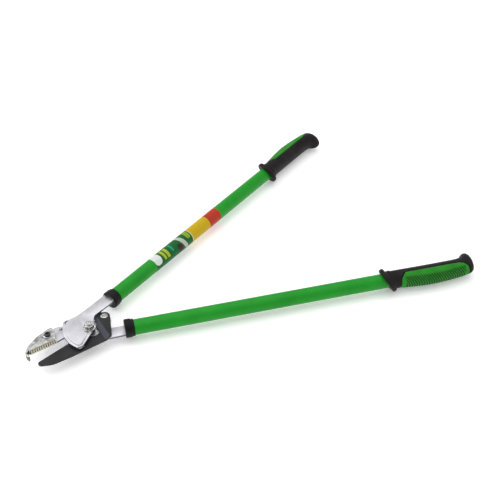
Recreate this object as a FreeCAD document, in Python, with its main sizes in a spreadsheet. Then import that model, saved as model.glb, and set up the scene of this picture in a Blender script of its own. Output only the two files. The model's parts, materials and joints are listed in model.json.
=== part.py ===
"""Long-handled compound anvil lopper, lying flat and partly open.

Head frame while modelling: origin beside the main pivot at the height of the tubes' axes, +X towards the
handles, +Y across, +Z up out of the plane in which the handles swing. At the end every sub-part is
placed so that the origin is the bottom centre of the whole tool's box.
Layers, from below: anvil arm, blade, cover plate. Millimetres and degrees.
"""
import FreeCAD
import Part
import math
import os

import Sketcher

Vector = FreeCAD.Vector
UP = Vector(0, 0, 1)

DIMENSIONS = {
    # plates, by height
    "arm_floor": -6.5,
    "arm_thick": 3.5,
    "blade_floor": -2.7,
    "blade_thick": 3.0,
    "tail_raise": 1.6,
    "cover_floor": 3.0,
    "cover_thick": 3.5,
    "cover_emboss": 1.0,
    "cheek_floor": -3.0,
    "cheek_thick": 6.2,
    # pivots, in the head frame
    "main_x": 2.0,
    "main_y": -2.0,
    "tail_x": 37.0,
    "tail_y": 7.0,
    "drive_x": -28.0,
    "drive_y": -21.0,
    "anvil_bolt_x": -52.6,
    "anvil_bolt_y": 32.9,
    "rivet_x": -27.0,
    "rivet_y": 36.6,
    "running_gap": 0.05,
    "main_bolt_radius": 4.0,
    "bush_radius": 5.2,
    "spacer_radius": 8.0,
    "tail_bolt_radius": 4.0,
    "drive_pin_radius": 3.0,
    "drive_stud_radius": 2.4,
    "anvil_bolt_radius": 3.0,
    "rivet_radius": 2.0,
    # blade
    "edge_y": -0.2,
    "bevel_width": 4.0,
    "tail_ramp": 9.0,
    "ramp_width": 100.0,
    "slot_radius": 3.2,
    "slot_half": 1.35,
    "slot_x": -27.69,
    "slot_y": -20.86,
    "slot_angle": 27.1,
    "close_angle": 10.0,
    # anvil pad, along and behind its face
    "pad_foot_x": -48.5,
    "pad_length": 44.5,
    "pad_depth": 4.6,
    "pad_floor": -4.4,
    "pad_thick": 7.5,
    "pad_tooth_pitch": 3.7,
    "pad_tooth_depth": 1.6,
    "pad_gap": 0.15,
    "lug_thick": 3.0,
    # handle tubes, measured along the handle from the end of its collar
    "tube_radius": 12.5,
    "tube_bore": 11.3,
    "tube_seat": 8.0,
    "tube_length": 566.0,
    "lower_start_x": 55.7,
    "lower_start_y": -44.6,
    "lower_angle": -29.9,
    "upper_start_x": 80.9,
    "upper_start_y": 33.1,
    "upper_angle": 9.25,
    "arm_half": 10.9,
    "tang_half": 8.8,
    "tang_length": 24.0,
    "label_start": 91.0,
    "label_length": 177.0,
    "label_thick": 0.12,
    # collars
    "collar_length": 15.0,
    "collar_radius": 15.0,
    "collar_lip": 13.9,
    "collar_recess": 2.0,
    "spigot_length": 26.0,
    # grips
    "guard_radius": 22.5,
    "guard_thick": 5.0,
    "guard_lean": 28.0,
    "lower_guard_station": 422.5,
    "upper_guard_station": 429.0,
    "grip_inner": 13.7,
    "grip_belly": 21.5,
    "grip_height": 16.5,
    "grip_hook": 26.0,
    "grip_reach": 154.5,
    "panel_start": 25.0,
    "panel_reach": 118.0,
    "panel_edge": 3.5,
    "panel_skin": 2.0,
    # fasteners
    "washer_radius": 9.5,
    "washer_thick": 1.5,
    "main_nut_flats": 14.0,
    "main_nut_height": 6.0,
    "main_head_radius": 9.0,
    "main_head_height": 3.6,
    "thread_proud": 1.8,
    "small_nut_flats": 11.0,
    "small_nut_height": 4.2,
    "nut_chamfer": 0.9,
    "chamfer_cone": 20.0,
    "chamfer_slope": 1.7,
    "tail_head_radius": 6.0,
    "tail_head_height": 0.9,
    "thrust_washer_radius": 7.5,
    "thrust_washer_thick": 0.25,
    "anvil_washer_radius": 6.6,
    "anvil_washer_thick": 1.1,
    "anvil_head_radius": 4.9,
    "anvil_head_height": 3.4,
    "socket_flats": 4.0,
    "socket_depth": 2.0,
    "rivet_head_radius": 3.3,
    "rivet_head_height": 1.5,
}

doc = FreeCAD.newDocument("lopper")
sheet = doc.addObject("Spreadsheet::Sheet", "Sheet")
for row, (alias, number) in enumerate(DIMENSIONS.items(), start=1):
    sheet.set("A%d" % row, alias)
    sheet.set("B%d" % row, str(number))
    sheet.setAlias("B%d" % row, alias)
doc.recompute()

NODES = {}


def mm(alias):
    """Value of a cell."""
    return float(sheet.get(alias))


def cell(alias):
    """Expression that follows a cell."""
    return "Sheet." + alias


def keep(piece, label, placement=None):
    """Name a finished sub-part, and remember where it lies in the head frame."""
    piece.Label = label
    NODES[label] = (piece, placement or FreeCAD.Placement())
    return piece


# ---------------------------------------------------------------- outlines

def rounded_outline(corners):
    """Lines and tangent arcs of a closed outline, given as corners (x, y, radius)."""
    stretches = []
    count = len(corners)
    for i, (x, y, radius) in enumerate(corners):
        here = Vector(x, y, 0)
        back = Vector(*corners[i - 1][:2], 0) - here
        ahead = Vector(*corners[(i + 1) % count][:2], 0) - here
        back.normalize()
        ahead.normalize()
        half = math.acos(max(-1.0, min(1.0, back.dot(ahead)))) / 2
        trim = radius / math.tan(half)
        bisector = (back + ahead).normalize()
        middle = here + bisector * (radius / math.sin(half) - radius)
        stretches.append((here + back * trim, middle, here + ahead * trim, radius))
    curves = []
    for i, (start, middle, end, radius) in enumerate(stretches):
        if radius > 0:
            curves.append(Part.Arc(start, middle, end))
        following = stretches[(i + 1) % count][0]
        if end.distanceToPoint(following) > 1e-6:
            curves.append(Part.LineSegment(end, following))
    return curves


def handle_place(side):
    """Placement of a handle's own frame: X along the tube, from the end of its collar."""
    start = Vector(mm(side + "_start_x"), mm(side + "_start_y"), 0)
    return FreeCAD.Placement(start, FreeCAD.Rotation(UP, mm(side + "_angle")))


def on_handle(side, along, across):
    """Head-frame point of a handle's own frame."""
    point = handle_place(side).multVec(Vector(along, across, 0))
    return point.x, point.y


def face_place():
    """Placement of the anvil face's frame: X along the face towards the hook, -Y into the jaw.

    The face lies where the blade's edge comes to when the blade has turned by close_angle.
    """
    turn = math.radians(mm("close_angle"))
    reach = mm("edge_y") - mm("tail_y") + mm("pad_gap")
    foot_x = mm("pad_foot_x")
    foot_y = mm("tail_y") + (reach - math.sin(turn) * (foot_x - mm("tail_x"))) / math.cos(turn)
    return FreeCAD.Placement(Vector(foot_x, foot_y, 0), FreeCAD.Rotation(UP, 180 - mm("close_angle")))


def on_face(along, depth):
    """Head-frame point behind the anvil face."""
    point = face_place().multVec(Vector(along, -depth, 0))
    return point.x, point.y


# ---------------------------------------------------------------- sketched pieces

def plane_sketch(body, name, role, offset):
    """Sketch on one of the body's own origin planes, raised by an expression."""
    sketch = body.newObject("Sketcher::SketchObject", name)
    plane = next(f for f in body.Origin.OriginFeatures if f.Role == role)
    sketch.AttachmentSupport = (plane, [""])
    sketch.MapMode = "FlatFace"
    sketch.setExpression("AttachmentOffset.Base.z", offset)
    return sketch


def add_circle(sketch, name, radius, centre=None):
    """Circle whose radius and centre follow the sheet; without a centre it sits on the origin."""
    spot = Vector(mm(centre + "_x"), mm(centre + "_y"), 0) if centre else Vector()
    index = sketch.addGeometry(Part.Circle(spot, UP, 1.0), False)
    bound = sketch.addConstraint(Sketcher.Constraint("Radius", index, 1.0))
    sketch.renameConstraint(bound, name + "_radius")
    sketch.setExpression("Constraints." + name + "_radius", radius)
    if centre is None:
        sketch.addConstraint(Sketcher.Constraint("Coincident", index, 3, -1, 1))
        return
    for kind, suffix in (("DistanceX", "_x"), ("DistanceY", "_y")):
        number = mm(centre + suffix)
        bound = sketch.addConstraint(Sketcher.Constraint(kind, -1, 1, index, 3, number))
        sketch.renameConstraint(bound, name + suffix)
        sketch.setExpression("Constraints." + name + suffix, cell(centre + suffix))


def pad(body, sketch, name, length):
    """Pad a sketch by an expression."""
    feature = body.newObject("PartDesign::Pad", name)
    feature.Profile = sketch
    feature.setExpression("Length", length)
    body.Tip = feature
    return feature


def pocket(body, sketch, name, length):
    """Cut a sketch against its own normal, and make sure that the cut removed something."""
    doc.recompute()
    before = body.Shape.Volume
    feature = body.newObject("PartDesign::Pocket", name)
    feature.Profile = sketch
    feature.setExpression("Length", length)
    body.Tip = feature
    doc.recompute()
    if body.Shape.Volume > before - 0.1:
        raise RuntimeError(name + " removed nothing")
    return feature


def plate(label, corners, floor, thickness, holes):
    """Flat plate with a rounded outline and drilled holes {name: (radius, centre)}."""
    body = doc.addObject("PartDesign::Body", label)
    sketch = plane_sketch(body, label + "_outline", "XY_Plane", cell(floor))
    for curve in rounded_outline(corners):
        sketch.addGeometry(curve, False)
    for name, (radius, centre) in holes.items():
        add_circle(sketch, name, radius, centre)
    pad(body, sketch, label + "_pad", cell(thickness))
    return body


def add_polygon(sketch, points):
    """Closed straight-sided figure in a sketch."""
    for start, end in zip(points, points[1:] + points[:1]):
        sketch.addGeometry(Part.LineSegment(Vector(*start, 0), Vector(*end, 0)), False)


# ---------------------------------------------------------------- primitives for the fasteners

def cylinder(name, radius, height, centre, floor):
    """Upright cylinder whose radius, height and place are expressions."""
    piece = doc.addObject("Part::Cylinder", name)
    piece.setExpression("Radius", radius)
    piece.setExpression("Height", height)
    place_at(piece, centre, floor)
    return piece


def hexagon(name, flats, height, centre, floor):
    """Upright hexagonal prism, by its width across flats."""
    piece = doc.addObject("Part::Prism", name)
    piece.Polygon = 6
    piece.setExpression("Circumradius", "(" + flats + ") / (2 * cos(30))")
    piece.setExpression("Height", height)
    place_at(piece, centre, floor)
    return piece


def chamfered_nut(label, flats, height, radius, centre, floor, top_free=True):
    """Hexagon nut with a turned chamfer on its outer end, and a plain bore."""
    blank = hexagon(label + "_hexagon", flats, height, centre, floor)
    corner = "(" + flats + ") / (2 * cos(30))"
    cone = doc.addObject("Part::Cone", label + "_cone")
    tall = "(" + height + ") + " + cell("chamfer_cone")
    steep = cell("chamfer_cone") + " * " + cell("chamfer_slope")
    if top_free:
        cone.setExpression("Radius1", corner + " + " + steep)
        cone.setExpression("Radius2", corner + " - " + cell("nut_chamfer"))
        place_at(cone, centre, "(" + floor + ") - " + cell("chamfer_cone"))
    else:
        cone.setExpression("Radius1", corner + " - " + cell("nut_chamfer"))
        cone.setExpression("Radius2", corner + " + " + steep)
        place_at(cone, centre, floor)
    cone.setExpression("Height", tall)
    turned = doc.addObject("Part::Common", label + "_turned")
    turned.Base = blank
    turned.Tool = cone
    return cut(label, turned, cylinder(label + "_bore", radius, "40", centre, "-20"))


def place_at(piece, centre, floor):
    """Stand a primitive on a pivot's axis, with its foot at an expression's height."""
    piece.setExpression("Placement.Base.x", cell(centre + "_x"))
    piece.setExpression("Placement.Base.y", cell(centre + "_y"))
    piece.setExpression("Placement.Base.z", floor)


def fuse(label, pieces):
    """One solid from several."""
    result = doc.addObject("Part::MultiFuse", label)
    result.Shapes = pieces
    return result


def cut(label, base, tool):
    """Base less tool."""
    result = doc.addObject("Part::Cut", label)
    result.Base = base
    result.Tool = tool
    return result


def domed(label, base, radius, height, edge_round):
    """Round the top rim of the highest circular edge of a piece."""
    doc.recompute()
    top = base.Shape.BoundBox.ZMax
    rims = [i for i, edge in enumerate(base.Shape.Edges, start=1)
            if abs(edge.BoundBox.ZMin - top) < 1e-6 and abs(edge.BoundBox.ZMax - top) < 1e-6
            and abs(edge.BoundBox.XLength - 2 * radius) < 1e-3]
    result = doc.addObject("Part::Fillet", label)
    result.Base = base
    result.Edges = [(i, edge_round * height, edge_round * height) for i in rims]
    return result


# ---------------------------------------------------------------- head plates

def anvil_arm():
    """Bottom plate: jaw, main pivot, tail pivot and the lower handle's arm in one piece."""
    depth = mm("pad_depth")
    notch = mm("pad_length") + 0.4
    arm_end = mm("collar_recess") - mm("collar_length")
    corners = [
        (-30.0, 44.2, 10), (-44.0, 45.0, 15), (-68.0, 42.5, 30), (-88.0, 35.5, 20), (-100.6, 24.5, 10),
        (-100.4, 15.0, 1.2), (-97.8, 15.0, 0.9), (-96.8, 24.0, 1.5),
        (*on_face(notch, depth), 0), (*on_face(-0.3, depth), 0), (*on_face(-0.3, 2.8), 0.5),
        (-22.0, 16.6, 6), (-14.5, 5.0, 6), (-14.0, -12.0, 8), (8.0, -28.0, 6),
        (*on_handle("lower", -42.0, -10.6), 4), (*on_handle("lower", arm_end, -9.8), 0),
        (*on_handle("lower", arm_end, -mm("tang_half") + 0.6), 0),
        (*on_handle("lower", mm("tang_length"), -mm("tang_half") + 0.6), 2),
        (*on_handle("lower", mm("tang_length"), mm("tang_half")), 2),
        (*on_handle("lower", arm_end, mm("tang_half")), 0), (*on_handle("lower", arm_end, mm("arm_half")), 0),
        (*on_handle("lower", -40.0, mm("arm_half")), 5), (44.9, -1.0, 7.5), (44.9, 14.9, 7.5),
        (14.0, 13.6, 10), (-6.0, 24.0, 12), (-17.0, 37.0, 6)]
    holes = {
        "main": (cell("main_bolt_radius"), "main"),
        "tail": (cell("tail_bolt_radius"), "tail"),
        "anvil": (cell("anvil_bolt_radius"), "anvil_bolt"),
        "rivet": (cell("rivet_radius"), "rivet")}
    keep(plate("anvil_arm", corners, "arm_floor", "arm_thick", holes), "anvil_arm")


def hook_jaw():
    """Cheek on top of the anvil arm: it carries the hook past the blade's path and holds the pad's lug."""
    depth = mm("pad_depth")
    notch = mm("pad_length") + 0.4
    corners = [
        (-37.0, 44.5, 3), (-44.0, 45.0, 15), (-68.0, 42.5, 30), (-88.0, 35.5, 20), (-100.6, 24.5, 10),
        (-100.4, 15.0, 1.2), (-97.8, 15.0, 0.9), (-96.8, 24.0, 1.5),
        (*on_face(notch, depth), 0), (*on_face(-0.3, depth), 0.5), (-39.0, 34.0, 12)]
    body = plate("hook_jaw", corners, "cheek_floor", "cheek_thick",
                 {"anvil": (cell("anvil_bolt_radius"), "anvil_bolt")})
    sketch = plane_sketch(body, "lug_seat", "XY_Plane", cell("cheek_floor") + " + " + cell("lug_thick"))
    for curve in rounded_outline(lug_outline(0.05)):
        sketch.addGeometry(curve, False)
    pocket(body, sketch, "lug_pocket", cell("lug_thick"))
    keep(body, "hook_jaw")


def lug_outline(grow):
    """Outline of the pad's lug, in the head frame, from the pad's back to beyond its bolt."""
    low = 1.8 - grow
    high = 15.0 + grow
    root = mm("pad_depth") - 0.5
    tip = mm("pad_depth") + 18.9 + grow
    return [(*on_face(low, root), 0), (*on_face(high, root), 0), (*on_face(high, tip), 4),
            (*on_face(low, tip), 4)]


def anvil_pad():
    """Soft metal pad with a toothed face, and a lug that is clamped under the cheek."""
    body = doc.addObject("PartDesign::Body", "anvil_pad")
    sketch = plane_sketch(body, "pad_outline", "XY_Plane", cell("pad_floor"))
    points = [on_face(0, mm("pad_depth")), on_face(0, 0)]
    pitch = mm("pad_tooth_pitch")
    for tooth in range(int(mm("pad_length") / pitch)):
        base = tooth * pitch
        points.append(on_face(base + 0.50 * pitch, 0))
        points.append(on_face(base + 0.60 * pitch, mm("pad_tooth_depth")))
        points.append(on_face(base + 0.88 * pitch, mm("pad_tooth_depth")))
        points.append(on_face(base + pitch - 0.05, 0))
    points.append(on_face(mm("pad_length"), 0.4))
    points.append(on_face(mm("pad_length"), mm("pad_depth")))
    add_polygon(sketch, points)
    pad(body, sketch, "pad_block", cell("pad_thick"))
    lug = plane_sketch(body, "lug_sketch", "XY_Plane", cell("cheek_floor"))
    for curve in rounded_outline(lug_outline(0)):
        lug.addGeometry(curve, False)
    add_circle(lug, "anvil", cell("anvil_bolt_radius"), "anvil_bolt")
    pad(body, lug, "pad_lug", cell("lug_thick"))
    keep(body, "anvil_pad")


def blade():
    """One-piece blade: straight edge, curved back, raised tail that turns on the tail bolt."""
    edge = mm("edge_y")
    corners = [
        (-96.0, edge, 5), (-96.8, -8.0, 5), (-81.0, -19.4, 30), (-48.5, -26.4, 60), (9.0, -35.6, 5),
        (21.5, -31.5, 7), (28.5, -21.5, 12), (49.5, 9.2, 9), (36.4, 18.4, 8), (22.0, 16.5, 5),
        (21.5, 6.0, 3), (13.6, -1.4, 2), (13.1, -16.9, 9), (-4.9, -16.9, 9), (-8.3, edge, 1.5)]
    body = plate("blade", corners, "blade_floor", "blade_thick",
                 {"tail": (cell("tail_bolt_radius") + " + " + cell("running_gap"), "tail")})
    tail = [
        (7.0, -33.9, 0), (9.0, -35.6, 1.4), (21.5, -31.5, 7), (28.5, -21.5, 12), (49.5, 9.2, 9),
        (36.4, 18.4, 8), (22.0, 16.5, 5), (21.5, 6.0, 3), (13.6, -1.4, 2), (13.2, -8.0, 1)]
    sketch = plane_sketch(body, "tail_outline", "XY_Plane",
                          cell("blade_floor") + " + " + cell("blade_thick"))
    for curve in rounded_outline(tail):
        sketch.addGeometry(curve, False)
    add_circle(sketch, "tail", cell("tail_bolt_radius") + " + " + cell("running_gap"), "tail")
    pad(body, sketch, "tail_pad", cell("tail_raise"))
    ramp_tail(body, Vector(*tail[0][:2], 0), Vector(*tail[-1][:2], 0))
    cut_drive_slot(body)
    grind_edge(body)
    keep(body, "blade")


def ramp_tail(body, start, end):
    """Slope the raised tail down to the blade along its crease, which runs from start to end."""
    crease = (end - start).normalize()
    across = Vector(crease.y, -crease.x, 0)
    low = mm("blade_floor") + mm("blade_thick")
    high = low + mm("tail_raise")
    sketch = body.newObject("Sketcher::SketchObject", "ramp_outline")
    plane = next(f for f in body.Origin.OriginFeatures if f.Role == "XY_Plane")
    sketch.AttachmentSupport = (plane, [""])
    sketch.MapMode = "FlatFace"
    sketch.AttachmentOffset = FreeCAD.Placement(start, FreeCAD.Rotation(across, UP, across.cross(UP), "XYZ"))
    add_polygon(sketch, [(-2, low), (0, low), (mm("tail_ramp"), high), (mm("tail_ramp"), high + 1),
                         (-2, high + 1)])
    feature = pocket(body, sketch, "tail_ramp", "2 * " + cell("ramp_width"))
    feature.Midplane = True


def cut_drive_slot(body):
    """Slot in which the cover's drive pin slides while it swings the blade."""
    turn = math.radians(mm("slot_angle"))
    along = Vector(math.cos(turn), math.sin(turn), 0)
    across = Vector(-math.sin(turn), math.cos(turn), 0) * mm("slot_radius")
    centre = Vector(mm("slot_x"), mm("slot_y"), 0)
    near = centre - along * mm("slot_half")
    far = centre + along * mm("slot_half")
    cap = along * mm("slot_radius")
    sketch = plane_sketch(body, "slot_outline", "XY_Plane",
                          cell("blade_floor") + " + " + cell("blade_thick"))
    sketch.addGeometry(Part.LineSegment(near + across, far + across), False)
    sketch.addGeometry(Part.Arc(far + across, far + cap, far - across), False)
    sketch.addGeometry(Part.LineSegment(far - across, near - across), False)
    sketch.addGeometry(Part.Arc(near - across, near - cap, near + across), False)
    pocket(body, sketch, "drive_slot", cell("blade_thick"))


def grind_edge(body):
    """Grind both faces down to the cutting edge, from the tip to just before the cover plate."""
    edge = mm("edge_y")
    top = mm("blade_floor") + mm("blade_thick")
    floor = mm("blade_floor")
    middle = (top + floor) / 2
    back = edge - mm("bevel_width")
    sketch = plane_sketch(body, "bevel_outline", "YZ_Plane", "-38")
    add_polygon(sketch, [(back, top), (edge, middle + 0.15), (edge + 1, middle + 0.15),
                         (edge + 1, top + 1), (back, top + 1)])
    add_polygon(sketch, [(back, floor), (edge, middle - 0.15), (edge + 1, middle - 0.15),
                         (edge + 1, floor - 1), (back, floor - 1)])
    pocket(body, sketch, "edge_bevels", "60")


def cover_plate():
    """Top plate: drive lobe, main pivot and the upper handle's arm in one piece."""
    arm_end = mm("collar_recess") - mm("collar_length")
    corners = [
        (-20.5, 37.8, 5), (-38.0, 11.0, 20), (-40.9, -8.0, 30), (-36.8, -29.4, 6.5), (-18.0, -20.6, 30),
        (8.0, -7.0, 8), (15.4, 6.0, 8), (24.0, 14.8, 8), (40.0, 16.4, 40),
        (*on_handle("upper", arm_end, -mm("arm_half")), 0), (*on_handle("upper", arm_end, -mm("tang_half")), 0),
        (*on_handle("upper", mm("tang_length"), -mm("tang_half")), 2),
        (*on_handle("upper", mm("tang_length"), mm("tang_half")), 2),
        (*on_handle("upper", arm_end, mm("tang_half")), 0), (*on_handle("upper", arm_end, mm("arm_half")), 0),
        (32.0, 36.6, 40), (5.0, 33.2, 40)]
    holes = {
        "main": (cell("bush_radius") + " + " + cell("running_gap"), "main"),
        "drive": (cell("drive_stud_radius"), "drive")}
    body = plate("cover_plate", corners, "cover_floor", "cover_thick", holes)
    raised = [
        (-17.5, 33.2, 3.5), (-33.8, 11.0, 20), (-36.9, -8.0, 30), (-33.6, -24.4, 4.5), (-18.0, -16.4, 30),
        (-9.0, -11.6, 3), (-9.5, 14.0, 8), (-2.0, 29.8, 4)]
    sketch = plane_sketch(body, "raised_outline", "XY_Plane",
                          cell("cover_floor") + " + " + cell("cover_thick"))
    for curve in rounded_outline(raised):
        sketch.addGeometry(curve, False)
    pad(body, sketch, "raised_panel", cell("cover_emboss"))
    keep(body, "cover_plate")


# ---------------------------------------------------------------- pivots and fasteners

def main_pivot():
    """Bolt, stepped bush, washer and nut on which the cover plate turns."""
    arm_floor = cell("arm_floor")
    arm_top = arm_floor + " + " + cell("arm_thick")
    stack_top = cell("cover_floor") + " + " + cell("cover_thick") + " + 2 * " + cell("running_gap")
    washer_top = stack_top + " + " + cell("washer_thick")
    nut_top = washer_top + " + " + cell("main_nut_height")
    radius = cell("main_bolt_radius")
    head = cylinder("main_head", cell("main_head_radius"), cell("main_head_height"), "main",
                    arm_floor + " - " + cell("main_head_height"))
    shank = cylinder("main_shank", radius,
                     nut_top + " + " + cell("thread_proud") + " - (" + arm_floor + ")", "main", arm_floor)
    keep(fuse("main_bolt", [head, shank]), "main_bolt")

    spacer = cylinder("spacer", cell("spacer_radius"),
                      cell("cover_floor") + " - " + cell("running_gap") + " - (" + arm_top + ")",
                      "main", arm_top)
    sleeve = cylinder("sleeve", cell("bush_radius"), stack_top + " - (" + arm_top + ")", "main", arm_top)
    bore = cylinder("bush_bore", radius, "40", "main", "-20")
    keep(cut("pivot_bush", fuse("bush_blank", [spacer, sleeve]), bore), "pivot_bush")

    disc = cylinder("main_disc", cell("washer_radius"), cell("washer_thick"), "main", stack_top)
    keep(cut("main_washer", disc, cylinder("washer_bore", radius, "40", "main", "-20")), "main_washer")
    keep(chamfered_nut("main_nut", cell("main_nut_flats"), cell("main_nut_height"), radius, "main",
                       washer_top), "main_nut")


def tail_pivot():
    """Bolt, thrust washer and nut on which the blade's tail turns."""
    blade_top = cell("blade_floor") + " + " + cell("blade_thick") + " + " + cell("tail_raise")
    head_floor = blade_top + " + " + cell("running_gap")
    foot = cell("arm_floor") + " - " + cell("small_nut_height") + " - 1"
    radius = cell("tail_bolt_radius")
    head = cylinder("tail_head", cell("tail_head_radius"), cell("tail_head_height"), "tail", head_floor)
    shank = cylinder("tail_shank", radius, head_floor + " - (" + foot + ")", "tail", foot)
    socket = hexagon("tail_socket", cell("socket_flats"), cell("socket_depth"), "tail",
                     head_floor + " + " + cell("tail_head_height") + " - 1.2")
    keep(cut("blade_bolt", fuse("blade_bolt_blank", [head, shank]), socket), "blade_bolt")
    disc = cylinder("thrust_disc", cell("thrust_washer_radius"), cell("thrust_washer_thick"), "tail",
                    cell("arm_floor") + " + " + cell("arm_thick"))
    keep(cut("blade_washer", disc, cylinder("thrust_bore", radius, "40", "tail", "-20")), "blade_washer")
    keep(chamfered_nut("blade_nut", cell("small_nut_flats"), cell("small_nut_height"), radius, "tail",
                       cell("arm_floor") + " - " + cell("small_nut_height"), False), "blade_nut")


def drive_pin():
    """Pin riveted into the cover plate; its thick end slides in the blade's slot."""
    floor = cell("arm_floor") + " + " + cell("arm_thick") + " + 0.4"
    pin = cylinder("drive_shank", cell("drive_pin_radius"), cell("cover_floor") + " - (" + floor + ")",
                   "drive", floor)
    stud = cylinder("drive_stud", cell("drive_stud_radius"), cell("cover_thick"), "drive",
                    cell("cover_floor"))
    keep(fuse("drive_pin", [pin, stud]), "drive_pin")


def anvil_fixing():
    """Socket-head bolt, washer and nut that clamp the pad's lug, and the rivet beside the cover."""
    cheek_top = cell("cheek_floor") + " + " + cell("cheek_thick")
    head_floor = cheek_top + " + " + cell("anvil_washer_thick")
    foot = cell("arm_floor") + " - " + cell("small_nut_height") + " - 1"
    radius = cell("anvil_bolt_radius")
    head = cylinder("anvil_head", cell("anvil_head_radius"), cell("anvil_head_height"), "anvil_bolt",
                    head_floor)
    shank = cylinder("anvil_shank", radius, head_floor + " - (" + foot + ")", "anvil_bolt", foot)
    blank = domed("anvil_blank", fuse("anvil_rod", [head, shank]), mm("anvil_head_radius"),
                  mm("anvil_head_height"), 0.45)
    socket = hexagon("anvil_socket", cell("socket_flats"), "9", "anvil_bolt",
                     head_floor + " + " + cell("anvil_head_height") + " - " + cell("socket_depth"))
    keep(cut("anvil_bolt", blank, socket), "anvil_bolt")
    disc = cylinder("anvil_disc", cell("anvil_washer_radius"), cell("anvil_washer_thick"), "anvil_bolt",
                    cheek_top)
    bore = cylinder("anvil_disc_bore", radius, "40", "anvil_bolt", "-20")
    keep(cut("anvil_washer", disc, bore), "anvil_washer")
    keep(chamfered_nut("anvil_nut", cell("small_nut_flats") + " - 1", cell("small_nut_height"), radius,
                       "anvil_bolt", cell("arm_floor") + " - " + cell("small_nut_height"), False),
         "anvil_nut")

    arm_top = cell("arm_floor") + " + " + cell("arm_thick")
    height = cell("rivet_head_height")
    body = cylinder("rivet_body", cell("rivet_radius"), cell("arm_thick"), "rivet", cell("arm_floor"))
    upper = cylinder("rivet_upper", cell("rivet_head_radius"), height, "rivet", arm_top)
    lower = cylinder("rivet_lower", cell("rivet_head_radius"), height, "rivet",
                     cell("arm_floor") + " - " + height)
    rivet = domed("rivet_domed", fuse("rivet_blank", [body, upper, lower]), mm("rivet_head_radius"),
                  mm("rivet_head_height"), 0.8)
    keep(rivet, "arm_rivet")


# ---------------------------------------------------------------- handles

def handle_tube(side):
    """Round steel tube, from inside its collar to inside its grip."""
    label = side + "_tube"
    body = doc.addObject("PartDesign::Body", label)
    sketch = plane_sketch(body, label + "_ring", "YZ_Plane", "-" + cell("tube_seat"))
    add_circle(sketch, "wall", cell("tube_radius"))
    add_circle(sketch, "bore", cell("tube_bore"))
    pad(body, sketch, label + "_pad", cell("tube_length"))
    keep(body, label, handle_place(side))


def tube_label():
    """Printed film wrapped round the upper tube."""
    body = doc.addObject("PartDesign::Body", "tube_label")
    sketch = plane_sketch(body, "label_ring", "YZ_Plane", cell("label_start"))
    add_circle(sketch, "outside", cell("tube_radius") + " + " + cell("label_thick"))
    add_circle(sketch, "inside", cell("tube_radius"))
    pad(body, sketch, "label_pad", cell("label_length"))
    keep(body, "tube_label", handle_place("upper"))


def collar(side, plate_floor):
    """Moulded collar: domed nose with a slot for the arm, lip over the tube, spigot inside it."""
    label = side + "_collar"
    body = doc.addObject("PartDesign::Body", label)
    nose = -mm("collar_length")
    seat = -mm("tube_seat")
    ring = mm("collar_radius")
    lip = mm("collar_lip")
    over_tube = mm("tube_radius") + 0.02
    in_tube = mm("tube_bore") - 0.02
    shoulder = nose + 2.4
    sketch = plane_sketch(body, label + "_profile", "XY_Plane", "0")
    sketch.addGeometry(Part.LineSegment(Vector(nose, 0, 0), Vector(nose, ring - 1.8, 0)), False)
    sketch.addGeometry(Part.Arc(Vector(nose, ring - 1.8, 0), Vector(nose + 0.7, ring - 0.5, 0),
                                Vector(shoulder, ring, 0)), False)
    points = [(shoulder, ring), (-5, ring), (-4.6, lip), (-0.6, lip), (0, lip - 0.6), (0, over_tube),
              (seat, over_tube), (seat, in_tube), (mm("spigot_length"), in_tube),
              (mm("spigot_length"), 0), (nose, 0)]
    for start, end in zip(points, points[1:]):
        sketch.addGeometry(Part.LineSegment(Vector(*start, 0), Vector(*end, 0)), False)
    turned = body.newObject("PartDesign::Revolution", label + "_turned")
    turned.Profile = sketch
    turned.ReferenceAxis = (sketch, ["H_Axis"])
    turned.Angle = 360
    body.Tip = turned
    low = mm(plate_floor) - 0.03
    high = low + mm("arm_thick") + 0.06
    for name, half, start, length in (
            ("tang_slot", mm("tang_half") + 0.03, mm("spigot_length") + 1, 60),
            ("arm_mouth", mm("arm_half") + 0.1, nose + mm("collar_recess"), 10)):
        cutter = plane_sketch(body, label + "_" + name, "YZ_Plane", str(start))
        add_polygon(cutter, [(-half, low), (half, low), (half, high), (-half, high)])
        pocket(body, cutter, label + "_" + name + "_cut", str(length))
    keep(body, label, handle_place(side))


def grip_form(side, sign, skin):
    """Solid form of the hand grip, less a skin depth: a loft through smooth closed sections.

    Each station is (place along the handle, reach inwards, reach outwards, half height).
    """
    inner = mm("grip_inner")
    belly = mm("grip_belly")
    height = mm("grip_height")
    hook = mm("grip_hook")
    start = mm(side + "_guard_station")
    end = start + mm("grip_reach")
    stations = [
        (start - 2, inner + 0.6, inner + 0.6, inner + 1), (start + 8, inner + 0.4, inner + 1, height - 1),
        (start + 22, inner, inner + 2.4, height - 0.4), (start + 45, inner, belly - 2.6, height),
        (start + 72, inner, belly, height), (start + 100, inner, belly - 1.6, height),
        (end - 30, inner, belly - 4.4, height - 0.3), (end - 20, inner + 1.6, 16.0, height - 0.6),
        (end - 15, hook - 4, 15.6, height - 0.6),
        (end - 9, hook, 15, height - 1), (end - 3, hook - 2, 12.5, height - 3.5),
        (end, hook - 9, 7, height - 9)]
    wires = []
    for along, inward, outward, half_height in stations:
        middle = sign * (outward - inward) / 2
        half_width = (outward + inward) / 2 - skin
        points = []
        for step in range(16):
            angle = math.pi * step / 8
            points.append(Vector(along, middle + half_width * math.cos(angle),
                                 (half_height - skin) * math.sin(angle)))
        curve = Part.BSplineCurve()
        curve.interpolate(points, PeriodicFlag=True)
        wires.append(Part.Wire([curve.toShape()]))
    return Part.makeLoft(wires, True)


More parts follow.
